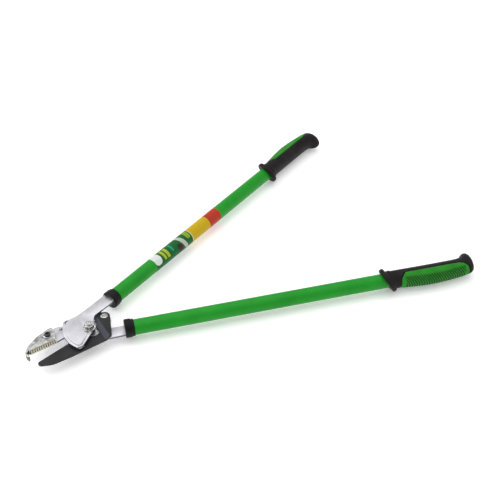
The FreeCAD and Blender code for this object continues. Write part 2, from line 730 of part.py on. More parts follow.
def grip(side, sign):
    """Hard grip with its leaning hand guard, and the soft panel let into its outer half."""
    form = grip_form(side, sign, 0)
    station = mm(side + "_guard_station")
    lean = math.radians(mm("guard_lean"))
    across = Vector(math.cos(lean), 0, math.sin(lean))
    thick = mm("guard_thick")
    guard = Part.makeCylinder(mm("guard_radius"), thick,
                              Vector(station, 0, 0) - across * (thick / 2), across)
    guard = guard.makeFillet(2.0, [edge for edge in guard.Edges if edge.Length > thick + 1])
    low = mm("panel_edge") if sign > 0 else -mm("panel_edge") - 40
    window = Part.makeBox(mm("panel_reach"), 40, 60, Vector(station + mm("panel_start"), low, -30))
    panel = form.common(window).cut(grip_form(side, sign, mm("panel_skin")))
    bore = Part.makeCylinder(mm("tube_radius") + 0.02, mm("tube_length") - mm("tube_seat"),
                             Vector(0, 0, 0), Vector(1, 0, 0))
    core = form.fuse(guard).removeSplitter().cut(panel).cut(bore)
    for label, shape in ((side + "_grip", core), (side + "_grip_panel", panel)):
        piece = doc.addObject("Part::Feature", label)
        piece.Shape = shape.Solids[0] if len(shape.Solids) == 1 else shape
        keep(piece, label, handle_place(side))


# ---------------------------------------------------------------- assembly and files

def build():
    """Make every sub-part in the head frame."""
    anvil_arm()
    hook_jaw()
    anvil_pad()
    blade()
    cover_plate()
    main_pivot()
    tail_pivot()
    drive_pin()
    anvil_fixing()
    for side, sign, plate_floor in (("lower", -1, "arm_floor"), ("upper", 1, "cover_floor")):
        handle_tube(side)
        collar(side, plate_floor)
        grip(side, sign)
    tube_label()


def place_all():
    """Move everything so that the origin is the bottom centre of the whole tool's box."""
    doc.recompute()
    total = FreeCAD.BoundBox()
    for piece, placement in NODES.values():
        piece.Placement = placement
        total.add(piece.Shape.optimalBoundingBox(False))
    shift = FreeCAD.Placement(Vector(-total.Center.x, -total.Center.y, -total.ZMin), FreeCAD.Rotation())
    for piece, placement in NODES.values():
        piece.Placement = shift * placement
    doc.recompute()
    return shift, total


def write_all():
    """Check every object and write one STEP file per sub-part."""
    failed = [o.Name for o in doc.Objects if "Invalid" in o.State or "Error" in o.State]
    if failed:
        raise RuntimeError("failed objects: " + ", ".join(failed))
    os.makedirs("parts", exist_ok=True)
    for label, (piece, _) in NODES.items():
        if piece.Shape.isNull() or not piece.Shape.isValid():
            raise RuntimeError(label + " has no valid shape")
        print("%-18s %2d solid(s) %10.1f mm3" % (label, len(piece.Shape.Solids), piece.Shape.Volume))
        piece.Shape.exportStep(os.path.join("parts", label + ".step"))


build()
shift, total = place_all()
write_all()
print("box %.2f x %.2f x %.2f" % (total.XLength, total.YLength, total.ZLength))
for pivot in ("main", "tail", "drive"):
    print(pivot, "pivot at", shift.multVec(Vector(mm(pivot + "_x"), mm(pivot + "_y"), 0)))
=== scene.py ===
# %% [markdown]
# # A long-handled anvil lopper
#
# This lesson dresses a finished metal model. The plates, tubes, bolts and blade come from a CAD
# frame, so their sizes and places are settled. Here they get worn edges, paint and plastic, and the
# two hand grips and the printed band are modelled again with more detail.
# Every length in the file is in metres, and X, Y and Z are those of the frame.

# %% Load the frame
import json
import math
import bpy
import numpy as np
from mathutils import Matrix, Vector

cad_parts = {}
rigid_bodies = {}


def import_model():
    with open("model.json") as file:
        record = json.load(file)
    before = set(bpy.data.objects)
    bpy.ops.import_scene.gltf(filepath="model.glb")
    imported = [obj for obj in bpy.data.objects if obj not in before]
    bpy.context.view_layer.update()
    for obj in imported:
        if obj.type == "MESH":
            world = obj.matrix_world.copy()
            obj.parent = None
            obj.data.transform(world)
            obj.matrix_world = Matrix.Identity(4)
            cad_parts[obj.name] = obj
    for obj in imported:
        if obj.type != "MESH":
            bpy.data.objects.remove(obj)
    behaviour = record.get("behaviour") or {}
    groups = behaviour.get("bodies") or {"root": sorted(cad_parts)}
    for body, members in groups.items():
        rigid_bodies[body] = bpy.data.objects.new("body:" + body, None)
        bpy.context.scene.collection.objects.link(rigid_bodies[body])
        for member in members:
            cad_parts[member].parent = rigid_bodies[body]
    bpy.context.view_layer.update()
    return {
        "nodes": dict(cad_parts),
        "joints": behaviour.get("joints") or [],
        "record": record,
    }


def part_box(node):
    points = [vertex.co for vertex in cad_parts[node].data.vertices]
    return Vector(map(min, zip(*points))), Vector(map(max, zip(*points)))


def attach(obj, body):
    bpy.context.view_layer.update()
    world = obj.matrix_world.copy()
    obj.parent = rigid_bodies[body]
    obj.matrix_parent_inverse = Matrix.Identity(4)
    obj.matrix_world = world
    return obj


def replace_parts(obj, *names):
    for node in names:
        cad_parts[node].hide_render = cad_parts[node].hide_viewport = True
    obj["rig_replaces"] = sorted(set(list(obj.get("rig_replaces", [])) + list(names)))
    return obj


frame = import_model()
nodes = frame["nodes"]
bodies = frame["record"]["behaviour"]["bodies"]
body_of = {node: body for body, members in bodies.items() for node in members}
MM = 0.001
bpy.ops.object.select_all(action="DESELECT")

# %% [markdown]
# ## The camera
#
# A camera is easiest to place by where it looks, how far away it stands, and two angles. The lopper
# lies flat, and is seen from the front left, about forty degrees above the bench. The point that it
# looks at is measured from the main pivot, so that it stays right if the frame grows.

# %% Place the camera
MAIN_PIVOT = Vector(frame["joints"][0]["pos_m"])
AIM = MAIN_PIVOT + Vector((0.31546, -0.03702, 0.0))
CAMERA_DISTANCE = 1.582
CAMERA_AZIMUTH = math.radians(-45.0)
CAMERA_HEIGHT = math.radians(39.64)
back = Vector((math.sin(CAMERA_AZIMUTH) * math.cos(CAMERA_HEIGHT),
               -math.cos(CAMERA_AZIMUTH) * math.cos(CAMERA_HEIGHT),
               math.sin(CAMERA_HEIGHT)))
lens = bpy.data.cameras.new("camera")
lens.lens = 66.1
lens.sensor_width = 36.0
camera = bpy.data.objects.new("camera", lens)
camera.location = AIM + back * CAMERA_DISTANCE
camera.rotation_mode = "QUATERNION"
camera.rotation_quaternion = (-back).to_track_quat("-Z", "Y")
bpy.context.scene.collection.objects.link(camera)
bpy.context.scene.camera = camera
print("camera stands at", [round(x, 3) for x in camera.location])

# %% [markdown]
# ## Floor and light
#
# A product table is a large pale sheet under soft boxes. The sheet glows faintly, like one that is
# lit from below, which keeps the shadows light. Three area lamps are enough: a wide one overhead, a
# key from the far left that draws the long highlight down each tube, and a weak one from the right.
# The sky fills in what they miss. It is pale at the horizon, darker above it and white overhead, so
# that the bright metal has both light and dark to reflect.

# %% Lay the floor
def node_tree(name):
    """A new material with an empty node tree, its shader and its output."""
    material = bpy.data.materials.new(name)
    material.use_nodes = True
    tree = material.node_tree
    tree.nodes.clear()
    shader = tree.nodes.new("ShaderNodeBsdfPrincipled")
    output = tree.nodes.new("ShaderNodeOutputMaterial")
    tree.links.new(shader.outputs["BSDF"], output.inputs["Surface"])
    return material, tree, shader


FLOOR_SIZE = 12.0
FLOOR_GREY = 0.93
FLOOR_GLOW = 0.24
WHITE = (1.0, 1.0, 1.0)
BLACK = (0.0, 0.0, 0.0)
bpy.ops.mesh.primitive_plane_add(size=FLOOR_SIZE, location=(0.0, 0.0, 0.0))
floor = bpy.context.object
floor.name = "floor"
floor_paint, _, floor_shader = node_tree("pale_floor")
floor_shader.inputs["Base Color"].default_value = (FLOOR_GREY, FLOOR_GREY, FLOOR_GREY, 1.0)
floor_shader.inputs["Roughness"].default_value = 0.9
floor_shader.inputs["Emission Color"].default_value = (*WHITE, 1.0)
floor_shader.inputs["Emission Strength"].default_value = FLOOR_GLOW
floor.data.materials.append(floor_paint)
floor.select_set(False)
print("floor is", floor.dimensions.x, "m wide")

# %% Hang the lamps
def soft_box(name, place, size, power):
    """A square area lamp that points at the middle of the lopper."""
    light = bpy.data.lights.new(name, "AREA")
    light.size = size
    light.energy = power
    lamp = bpy.data.objects.new(name, light)
    lamp.location = place
    lamp.rotation_euler = (AIM - Vector(place)).to_track_quat("-Z", "Y").to_euler()
    bpy.context.scene.collection.objects.link(lamp)


soft_box("overhead", (0.1, 0.5, 1.9), 2.4, 13.0)
soft_box("key", (-0.9, 1.5, 1.3), 0.9, 11.0)
soft_box("fill", (1.5, -1.2, 1.1), 1.6, 3.0)

# %% Shade the sky
SKY_STRENGTH = 1.05
SKY_LEVELS = [(0.10, 0.90), (0.32, 0.45), (0.95, 1.0)]
sky = bpy.data.worlds.new("studio")
bpy.context.scene.world = sky
sky.use_nodes = True
sky_tree = sky.node_tree
direction = sky_tree.nodes.new("ShaderNodeTexCoord")
split = sky_tree.nodes.new("ShaderNodeSeparateXYZ")
glow = sky_tree.nodes.new("ShaderNodeValToRGB")
glow.color_ramp.elements.new(0.5)
for element, (position, level) in zip(glow.color_ramp.elements, SKY_LEVELS):
    element.position = position
    element.color = (level, level, level, 1.0)
sky_tree.links.new(direction.outputs["Generated"], split.inputs["Vector"])
sky_tree.links.new(split.outputs["Z"], glow.inputs["Fac"])
sky_tree.links.new(glow.outputs["Color"], sky_tree.nodes["Background"].inputs["Color"])
sky_tree.nodes["Background"].inputs["Strength"].default_value = SKY_STRENGTH
bpy.context.scene.view_settings.view_transform = "Standard"
print("sky has", len(SKY_LEVELS), "levels")

# %% [markdown]
# ## Small helpers for the finishes
#
# A believable finish is rarely one colour. Most of the ones below share the same three ideas: a
# noise that shifts the colour a little, another that makes the gloss uneven, and a fine bump that
# breaks up the reflections. They read Object coordinates, so the grain stays put when a piece moves.

# %% Noise, colour and bump
def grain(tree, scale, detail=3.0, stretch=(1.0, 1.0, 1.0)):
    """A noise in the piece's own place, stretched along an axis if wanted. Returns its output."""
    place = tree.nodes.new("ShaderNodeTexCoord")
    mapping = tree.nodes.new("ShaderNodeMapping")
    mapping.inputs["Scale"].default_value = stretch
    noise = tree.nodes.new("ShaderNodeTexNoise")
    noise.inputs["Scale"].default_value = scale
    noise.inputs["Detail"].default_value = detail
    tree.links.new(place.outputs["Object"], mapping.inputs["Vector"])
    tree.links.new(mapping.outputs["Vector"], noise.inputs["Vector"])
    return noise.outputs["Fac"]


def shades(tree, source, stops):
    """A ramp of colours [(position, (r, g, b))] over a source between 0 and 1."""
    ramp = tree.nodes.new("ShaderNodeValToRGB")
    ramp.color_ramp.elements[0].position = stops[0][0]
    ramp.color_ramp.elements[0].color = (*stops[0][1], 1.0)
    ramp.color_ramp.elements[1].position = stops[-1][0]
    ramp.color_ramp.elements[1].color = (*stops[-1][1], 1.0)
    for position, colour in stops[1:-1]:
        ramp.color_ramp.elements.new(position).color = (*colour, 1.0)
    tree.links.new(source, ramp.inputs["Fac"])
    return ramp.outputs["Color"]


def between(tree, source, low, high):
    """A source between 0 and 1 spread from low to high."""
    spread = tree.nodes.new("ShaderNodeMapRange")
    spread.inputs["From Min"].default_value = 0.3
    spread.inputs["From Max"].default_value = 0.7
    spread.inputs["To Min"].default_value = low
    spread.inputs["To Max"].default_value = high
    tree.links.new(source, spread.inputs["Value"])
    return spread.outputs["Result"]


def raised(tree, shader, source, height, strength=1.0):
    """Bumps the shader's surface by a source, with a height in metres."""
    bump = tree.nodes.new("ShaderNodeBump")
    bump.inputs["Distance"].default_value = height
    bump.inputs["Strength"].default_value = strength
    tree.links.new(source, bump.inputs["Height"])
    tree.links.new(bump.outputs["Normal"], shader.inputs["Normal"])


def mixed(tree, share, first, second):
    """A colour socket mixed towards a plain colour by a share between 0 and 1."""
    blend = tree.nodes.new("ShaderNodeMix")
    blend.data_type = "RGBA"
    blend.inputs["B"].default_value = (*second, 1.0)
    tree.links.new(share, blend.inputs["Factor"])
    tree.links.new(first, blend.inputs["A"])
    return blend.outputs["Result"]


print("helpers ready")

# %% [markdown]
# ## Metals
#
# The two plates are zinc plated: a pale, slightly violet grey with a satin sheen. The cheek of the
# jaw is more mottled, and the bolts are brighter. All are metallic shaders, and they differ in
# colour, in how rough they are, and in how uneven that roughness is. The plates' upright sides get
# painted shade, a darker colour than their faces, and the side is told by how upright the surface stands.

# %% Metal finishes
def painted_side_shade(tree, colour, side_shade_colour):
    """Mix a colour towards a painted shade colour wherever the surface stands upright."""
    facing = tree.nodes.new("ShaderNodeTexCoord")
    split = tree.nodes.new("ShaderNodeSeparateXYZ")
    tree.links.new(facing.outputs["Normal"], split.inputs["Vector"])
    flat = tree.nodes.new("ShaderNodeMath")
    flat.operation = "ABSOLUTE"
    tree.links.new(split.outputs["Z"], flat.inputs[0])
    upright = shades(tree, flat.outputs["Value"], [(0.25, WHITE), (0.60, BLACK)])
    return mixed(tree, upright, colour, side_shade_colour)


def metal(name, dark, light, rough, mottle, fine, height, metallic=1.0, side_shade=None):
    """A plated metal: mottled colour and gloss, a fine bump, and painted shade on the upright sides if
    wanted.
    """
    material, tree, shader = node_tree(name)
    shader.inputs["Metallic"].default_value = metallic
    patches = grain(tree, mottle, 4.0)
    colour = shades(tree, patches, [(0.32, dark), (0.68, light)])
    # painted shade: the upright sides are mixed towards a darker colour
    if side_shade:
        colour = painted_side_shade(tree, colour, side_shade)
    tree.links.new(colour, shader.inputs["Base Color"])
    tree.links.new(between(tree, grain(tree, mottle * 2.7), *rough), shader.inputs["Roughness"])
    raised(tree, shader, grain(tree, fine, 2.0), height)
    return material


# the last colour of each plate is the painted shade on its upright sides
FINISHES = {
    "plate_steel": metal("zinc_plate", (0.54, 0.535, 0.57), (0.67, 0.66, 0.70), (0.30, 0.44), 60.0,
                         1400.0, 0.00002, 0.75, (0.16, 0.16, 0.17)),
    "jaw_steel": metal("jaw_plate", (0.20, 0.20, 0.20), (0.66, 0.66, 0.65), (0.26, 0.42), 190.0,
                       1500.0, 0.00003, 0.85, (0.10, 0.10, 0.10)),
    "zinc_fastener": metal("bright_zinc", (0.09, 0.09, 0.09), (0.78, 0.78, 0.79), (0.14, 0.28),
                           500.0, 2500.0, 0.00002),
    "bush_steel": metal("blackened_bush", (0.02, 0.02, 0.02), (0.05, 0.05, 0.05), (0.30, 0.42), 400.0,
                        2500.0, 0.00002, 0.4),
    "black_fastener": metal("blackened_steel", (0.02, 0.02, 0.02), (0.06, 0.06, 0.06), (0.25, 0.40),
                            400.0, 2500.0, 0.00002, 0.6),
}
print("metals:", sorted(FINISHES))

# %% [markdown]
# ## Painted shade in the hollows
#
# The pad is a soft brass that has gone dull, and its teeth look sharp because painted shade darkens
# the gaps between them. The soft panels of the grips get painted shade between their ribs too. Such
# shade follows the shape, so it is stored on the mesh as a number at each point, named hollow, and
# the finish darkens by it.

# %% A finish with painted shade in the hollows
def shaded_hollows(tree, shader, colour, deep):
    """Paint shade in the hollows: mix a colour towards a deep one by the mesh's own hollow number, and send
    it to the shader.
    """
    hollow = tree.nodes.new("ShaderNodeAttribute")
    hollow.attribute_name = "hollow"
    tree.links.new(mixed(tree, hollow.outputs["Fac"], colour, deep), shader.inputs["Base Color"])


def store_hollow(piece, values):
    """Store the hollow number on each point of a piece."""
    layer = piece.data.attributes.new("hollow", "FLOAT", "POINT")
    layer.data.foreach_set("value", np.asarray(values, dtype=np.float32))


brass, tree, shader = node_tree("dull_brass")
shader.inputs["Metallic"].default_value = 0.35
tone = shades(tree, grain(tree, 300.0, 4.0), [(0.32, (0.50, 0.48, 0.36)), (0.68, (0.74, 0.72, 0.60))])
# painted shade: the gaps between the teeth are darkened towards this deep colour
shaded_hollows(tree, shader, tone, (0.090, 0.080, 0.040))
tree.links.new(between(tree, grain(tree, 700.0), 0.32, 0.50), shader.inputs["Roughness"])
raised(tree, shader, grain(tree, 2200.0, 2.0), 0.00003)
FINISHES["pad_brass"] = brass
print("made", brass.name)

# %% [markdown]
# ## The blade's black coating
#
# The blade is covered with a low-friction black coating. It is not metallic to the eye: a very dark
# grey with a broad sheen, a fine pebble left by spraying, and a few rub marks where it has already
# met the cover plate. The rub marks are a stretched noise, cut off so that only its peaks show. The
# slope where the tail steps up gets a painted highlight, a bluish satin colour, and is found by how far it
# leans.

# %% Blade coating
coating, tree, shader = node_tree("black_coating")
cloud = shades(tree, grain(tree, 45.0, 4.0),
               [(0.35, (0.012, 0.012, 0.013)), (0.7, (0.022, 0.022, 0.024))])
rubs = shades(tree, grain(tree, 60.0, 5.0, (0.15, 1.0, 1.0)), [(0.69, BLACK), (0.76, WHITE)])
worn = mixed(tree, rubs, cloud, (0.16, 0.16, 0.16))
facing = tree.nodes.new("ShaderNodeTexCoord")
split = tree.nodes.new("ShaderNodeSeparateXYZ")
tree.links.new(facing.outputs["Normal"], split.inputs["Vector"])
# painted highlight: the tail's slope, picked out by how far its normal leans, gets a lighter bluish grey
painted_slope_highlight = shades(tree, split.outputs["Z"], [(0.970, BLACK), (0.980, WHITE), (0.989, WHITE), (0.994, BLACK)])
tree.links.new(mixed(tree, painted_slope_highlight, worn, (0.048, 0.052, 0.068)), shader.inputs["Base Color"])
tree.links.new(between(tree, grain(tree, 180.0), 0.34, 0.46), shader.inputs["Roughness"])
shader.inputs["Specular IOR Level"].default_value = 0.22
raised(tree, shader, grain(tree, 2600.0, 2.0), 0.00003)
FINISHES["blade_coating"] = coating
print("made", coating.name)

# %% [markdown]
# ## Green enamel on the tubes
#
# The tubes are steel with a thick, glossy green enamel. A clear coat over a coloured base gives the
# narrow bright reflection, and a very shallow, wide bump gives the slight orange peel that sprayed
# paint has. The colour drifts a little, because paint is never equally thick.

# %% Tube enamel
enamel, tree, shader = node_tree("green_enamel")
tone = shades(tree, grain(tree, 22.0), [(0.3, (0.006, 0.235, 0.012)), (0.7, (0.012, 0.288, 0.018))])
tree.links.new(tone, shader.inputs["Base Color"])
tree.links.new(between(tree, grain(tree, 90.0), 0.26, 0.36), shader.inputs["Roughness"])
shader.inputs["Specular IOR Level"].default_value = 0.12
shader.inputs["Coat Weight"].default_value = 0.12
shader.inputs["Coat Roughness"].default_value = 0.15
raised(tree, shader, grain(tree, 420.0, 1.0), 0.00004, 0.6)
FINISHES["tube_paint"] = enamel
print("made", enamel.name)

# %% [markdown]
# ## Plastics
#
# The collars and the cores of the grips are moulded in dark grey plastic. A spark-eroded mould
# leaves a fine even grain. The soft panels are a green rubber with a duller sheen: rougher, with
# painted shade between the ribs that leaves the crests lighter, and with their own finer grain.

# %% Moulded plastic and soft rubber
def moulded(name, dark, light, rough, texture, height):
    """A moulded plastic: a slow drift of colour, and the grain of the mould."""
    material, tree, shader = node_tree(name)
    tree.links.new(shades(tree, grain(tree, 50.0), [(0.3, dark), (0.7, light)]), shader.inputs["Base Color"])
    tree.links.new(between(tree, grain(tree, 160.0), *rough), shader.inputs["Roughness"])
    shader.inputs["Specular IOR Level"].default_value = 0.11
    raised(tree, shader, grain(tree, texture, 2.0), height)
    return material


FINISHES["collar_plastic"] = moulded("collar_black", (0.006, 0.006, 0.006), (0.011, 0.011, 0.011),
                                     (0.30, 0.42), 1600.0, 0.00005)
FINISHES["grip_plastic"] = moulded("grip_charcoal", (0.008, 0.007, 0.007), (0.015, 0.013, 0.013),
                                   (0.42, 0.54), 1400.0, 0.00008)
rubber, tree, shader = node_tree("grip_green")
tone = shades(tree, grain(tree, 50.0), [(0.3, (0.012, 0.185, 0.010)), (0.7, (0.024, 0.245, 0.018))])
# painted shade: the rubber darkens towards this deep green between the ribs
shaded_hollows(tree, shader, tone, (0.002, 0.022, 0.002))
tree.links.new(between(tree, grain(tree, 160.0), 0.44, 0.56), shader.inputs["Roughness"])
shader.inputs["Specular IOR Level"].default_value = 0.15
raised(tree, shader, grain(tree, 1800.0, 2.0), 0.00006)
FINISHES["grip_rubber"] = rubber
print("plastics ready")

# %% [markdown]
# ## The printed band
#
# The band round the upper tube is a thin plastic film in plain colour fields. A film is best
# patterned along its own length, so the band carries a UV map: V runs from the jaw end to the grip
# end, and U once round the tube, with 0.5 on the side that is turned up. The fields that go right
# round come from a ramp set to Constant. The bars and the oval are patches: a point is inside one if
# its distance from the middle, raised to a power, is under one. A power of two gives an ellipse, and
# a high one a rectangle with round corners.

# %% Helpers for printed shapes
def sum_of(tree, operation, first, second):
    """One Math node. Each input is a socket or a number."""
    step = tree.nodes.new("ShaderNodeMath")
    step.operation = operation
    for socket, value in zip(step.inputs, (first, second)):
        if isinstance(value, (int, float)):
            socket.default_value = value
        else:
            tree.links.new(value, socket)
    return step.outputs["Value"]


def patch(tree, around, along, middle, half, slant, power):
    """1 inside a printed patch and 0 outside it, in shares of the band's girth and length."""
    from_middle = sum_of(tree, "SUBTRACT", around, middle[0])
    lean = sum_of(tree, "MULTIPLY", from_middle, slant)
    from_line = sum_of(tree, "SUBTRACT", sum_of(tree, "SUBTRACT", along, middle[1]), lean)
    total = 0.0
    for distance, reach in ((from_middle, half[0]), (from_line, half[1])):
        share = sum_of(tree, "DIVIDE", sum_of(tree, "ABSOLUTE", distance, 0.0), reach)
        total = sum_of(tree, "ADD", sum_of(tree, "POWER", share, power), total)
    return sum_of(tree, "LESS_THAN", total, 1.0)


print("print helpers ready")

# %% Label film
FIELDS = [(0.0, (0.004, 0.105, 0.022)), (0.537, (0.55, 0.55, 0.25)), (0.548, (0.50, 0.34, 0.004)),
          (0.82, (0.40, 0.032, 0.012))]
PATCHES = [
    ((0.44, 0.045), (0.17, 0.050), 0.0, 2.6, (0.62, 0.66, 0.64)),
    ((0.46, 0.137), (0.13, 0.015), 0.0, 8.0, (0.34, 0.42, 0.02)),
    ((0.47, 0.185), (0.13, 0.017), 0.0, 8.0, (0.34, 0.42, 0.02)),
    ((0.44, 0.258), (0.11, 0.012), 0.0, 8.0, (0.02, 0.26, 0.12)),
    ((0.60, 0.355), (0.11, 0.032), 0.1, 2.0, (0.030, 0.020, 0.012)),
    ((0.50, 0.412), (0.23, 0.024), 0.16, 3.0, (0.42, 0.45, 0.38)),
    ((0.42, 0.500), (0.12, 0.026), 0.0, 4.0, (0.22, 0.32, 0.02))]
film, tree, shader = node_tree("label_film")
place = tree.nodes.new("ShaderNodeUVMap")
place.uv_map = "band"
split = tree.nodes.new("ShaderNodeSeparateXYZ")
tree.links.new(place.outputs["UV"], split.inputs["Vector"])
fields = tree.nodes.new("ShaderNodeValToRGB")
fields.color_ramp.interpolation = "CONSTANT"
fields.color_ramp.elements.remove(fields.color_ramp.elements[1])
fields.color_ramp.elements[0].color = (*FIELDS[0][1], 1.0)
for position, colour in FIELDS[1:]:
    fields.color_ramp.elements.new(position).color = (*colour, 1.0)
tree.links.new(split.outputs["Y"], fields.inputs["Fac"])
printed = fields.outputs["Color"]
for middle, half, slant_share, power, colour in PATCHES:
    mask = patch(tree, split.outputs["X"], split.outputs["Y"], middle, half, slant_share, power)
    printed = mixed(tree, mask, printed, colour)
tree.links.new(printed, shader.inputs["Base Color"])
tree.links.new(between(tree, grain(tree, 200.0), 0.26, 0.36), shader.inputs["Roughness"])
shader.inputs["Specular IOR Level"].default_value = 0.15
raised(tree, shader, grain(tree, 300.0, 1.0), 0.00003, 0.5)
FINISHES["label_film"] = film
print("band has", len(FIELDS), "fields and", len(PATCHES), "patches")

# %% [markdown]
# ## Softened edges on the metal
#
# A stamped or forged part never has a perfectly sharp corner, and it is the thin bright line along a
# rounded corner that tells the eye it is metal. Each flat piece is copied, its triangles are melted
# into whole faces, and a Bevel modifier rounds the corners that are sharper than thirty degrees. The
# copy then stands for the frame's own piece. A Boolean modifier can cut it first.

# %% Round the corners of a metal piece
MERGE_DISTANCE = 0.01 * MM
FLAT_ANGLE = 0.5
CORNER_ANGLE = 30.0
SLOT_OF = {row["node"]: row["material_slot"] for row in frame["record"]["subparts"]}


def apply_all(piece):
    """Apply every modifier of a piece, in order."""
    bpy.ops.object.select_all(action="DESELECT")
    bpy.context.view_layer.objects.active = piece
    piece.select_set(True)
    for modifier in list(piece.modifiers):
        bpy.ops.object.modifier_apply(modifier=modifier.name)
    piece.select_set(False)


def combined(piece, tool, operation):
    """Apply a boolean to a piece and remove the tool."""
    boolean = piece.modifiers.new("boolean", "BOOLEAN")
    boolean.object = tool
    boolean.operation = operation
    boolean.solver = "EXACT"
    apply_all(piece)
    print(piece.name, operation.lower(), tool.name, "gives", len(piece.data.polygons), "faces")
    bpy.data.objects.remove(tool)
    return piece


def tidy_mesh(piece, distance, flat_angle):
    """Merge doubles, melt flat triangles together, and face everything outwards."""
    bpy.context.view_layer.objects.active = piece
    piece.select_set(True)
    bpy.ops.object.mode_set(mode="EDIT")
    bpy.ops.mesh.select_all(action="SELECT")
    bpy.ops.mesh.remove_doubles(threshold=distance)
    if flat_angle:
        bpy.ops.mesh.dissolve_limited(angle_limit=flat_angle)
    bpy.ops.mesh.normals_make_consistent(inside=False)
    bpy.ops.object.mode_set(mode="OBJECT")
    piece.select_set(False)


def smooth_by_angle(piece, degrees):
    """Shade smoothly, except over corners sharper than an angle."""
    bpy.context.view_layer.objects.active = piece
    piece.select_set(True)
    bpy.ops.object.shade_smooth_by_angle(angle=math.radians(degrees))
    piece.select_set(False)


def wear(piece, node):
    """Give a piece the finish, slot and body of the frame node that it stands for."""
    piece.data.materials.clear()
    piece.data.materials.append(FINISHES[SLOT_OF[node]])
    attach(piece, body_of[node])
    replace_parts(piece, node)
    print(piece.name, "has", len(piece.data.polygons), "faces")


def softened(node, width, segments=3, smooth=32.0, cutters=()):
    """A copy of a frame node with its corners rounded by a width in metres, after any cutters."""
    piece = bpy.data.objects.new(node + "_softened", nodes[node].data.copy())
    bpy.context.scene.collection.objects.link(piece)
    tidy_mesh(piece, MERGE_DISTANCE, 0.0)
    for cutter in cutters:
        combined(piece, cutter, "DIFFERENCE")
    tidy_mesh(piece, MERGE_DISTANCE, math.radians(FLAT_ANGLE))
    bevel = piece.modifiers.new("rounded_corners", "BEVEL")
    bevel.width = width
    bevel.segments = segments
    bevel.limit_method = "ANGLE"
    bevel.angle_limit = math.radians(CORNER_ANGLE)
    bevel.use_clamp_overlap = True
    apply_all(piece)
    smooth_by_angle(piece, smooth)
    wear(piece, node)
    return piece


print("corners over", CORNER_ANGLE, "degrees are rounded")

# %% [markdown]
# ## Struck corners on the cover plate
#
# Where the press raised the middle of the cover plate, two of its corners were struck deeper and have
# left a curved groove. A groove is cut with a bent bar: a flat ring of points that follows an arc out
# and back, extruded upwards. The plate's rim is rounded after the cut, so the groove's is too.

# %% Bars that cut the grooves
GROOVE_WIDTH = 2.6
GROOVE_DEPTH = 2.6
RAISED_BY = 1.0
BAR_HEIGHT = 4.0
BAR_POINTS = 12
GROOVES = [((-16.6, 31.2), 5.6, 65.0, 185.0), ((-33.6, -19.0), 5.2, 205.0, 305.0)]


def bent_bar(middle, radius, start, end, floor):
    """A bar bent round a middle (millimetres from the main pivot), between two angles in degrees."""
    bpy.ops.object.select_all(action="DESELECT")
    bpy.ops.mesh.primitive_circle_add(vertices=2 * BAR_POINTS, radius=1.0, fill_type="NGON")
    piece = bpy.context.object
    piece.name = "groove_bar"
    for index, vertex in enumerate(piece.data.vertices):
        outward = index < BAR_POINTS
        share = (index if outward else 2 * BAR_POINTS - 1 - index) / (BAR_POINTS - 1)
        angle = math.radians(start + (end - start) * share)
        half_width = GROOVE_WIDTH / 2 * (2.0 + 5.0 * math.sin(math.pi * share)) / 7.0
        reach = radius + (half_width if outward else -half_width)
        vertex.co = (MAIN_PIVOT.x + (middle[0] + reach * math.cos(angle)) * MM,
                     MAIN_PIVOT.y + (middle[1] + reach * math.sin(angle)) * MM, floor)
    bpy.ops.object.mode_set(mode="EDIT")
    bpy.ops.mesh.select_all(action="SELECT")
    bpy.ops.mesh.extrude_region_move(TRANSFORM_OT_translate={"value": (0.0, 0.0, BAR_HEIGHT * MM)})
    bpy.ops.mesh.select_all(action="SELECT")
    bpy.ops.mesh.normals_make_consistent(inside=False)
    bpy.ops.object.mode_set(mode="OBJECT")
    piece.select_set(False)
    return piece


plate_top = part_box("cover_plate")[1][2] - RAISED_BY * MM
bars = [bent_bar(*groove, plate_top - GROOVE_DEPTH * MM) for groove in GROOVES]
print(len(bars), "grooves to cut, below", round(plate_top, 4))

# %% Soften the metal and the collars
BLADE_SMOOTH = 9.0
softened("cover_plate", 0.3 * MM, cutters=bars)
softened("anvil_arm", 0.4 * MM)
softened("hook_jaw", 0.5 * MM)
pad = softened("anvil_pad", 0.15 * MM, 2)
softened("blade", 0.2 * MM, 2, BLADE_SMOOTH)
for node in ("main_washer", "main_nut", "blade_bolt", "blade_nut", "anvil_bolt", "anvil_washer",
             "anvil_nut"):
    softened(node, 0.25 * MM, 2)
for node in ("lower_collar", "upper_collar"):
    softened(node, 0.6 * MM)

# %% [markdown]
# ## Painted shade between the pad's teeth
#
# The teeth all end on one flat face, which the blade meets when it has turned by ten degrees. That
# angle gives the face's direction, and how far a point lies behind the face tells how deep in a gap
# it is, and so how much painted shade it gets.

# %% Mark the pad's gaps
TOOTH_DEPTH = 1.6
spots = np.array([v.co for v in pad.data.vertices]) / MM
CLOSE_ANGLE = math.radians(10.0)
face_normal = np.array([-math.sin(CLOSE_ANGLE), -math.cos(CLOSE_ANGLE), 0.0])
behind = (spots @ face_normal).max() - spots @ face_normal
UNSHADED_TIP = 0.4
# painted shade: points deeper behind the tooth face than the unshaded tip get a larger hollow number
store_hollow(pad, np.clip(behind - UNSHADED_TIP, 0.0, 1.0) * (behind < TOOTH_DEPTH + 0.3))
print("the pad's gaps are", TOOTH_DEPTH, "mm deep")

# %% [markdown]
# ## A handle's own axes
#
# Both handles lie at odd angles, and it is awkward to model on a slant. So each grip is modelled
# straight along X, and then carried to its tube by one matrix. The tube itself tells where that is:
# its long axis is the direction in which its points spread the most.

# %% Find each handle's axes
TUBE_SEAT = 8.0 * MM
HEAD_NODE = "main_nut"
ALONG_X = Matrix.Rotation(math.radians(90.0), 4, "Y")


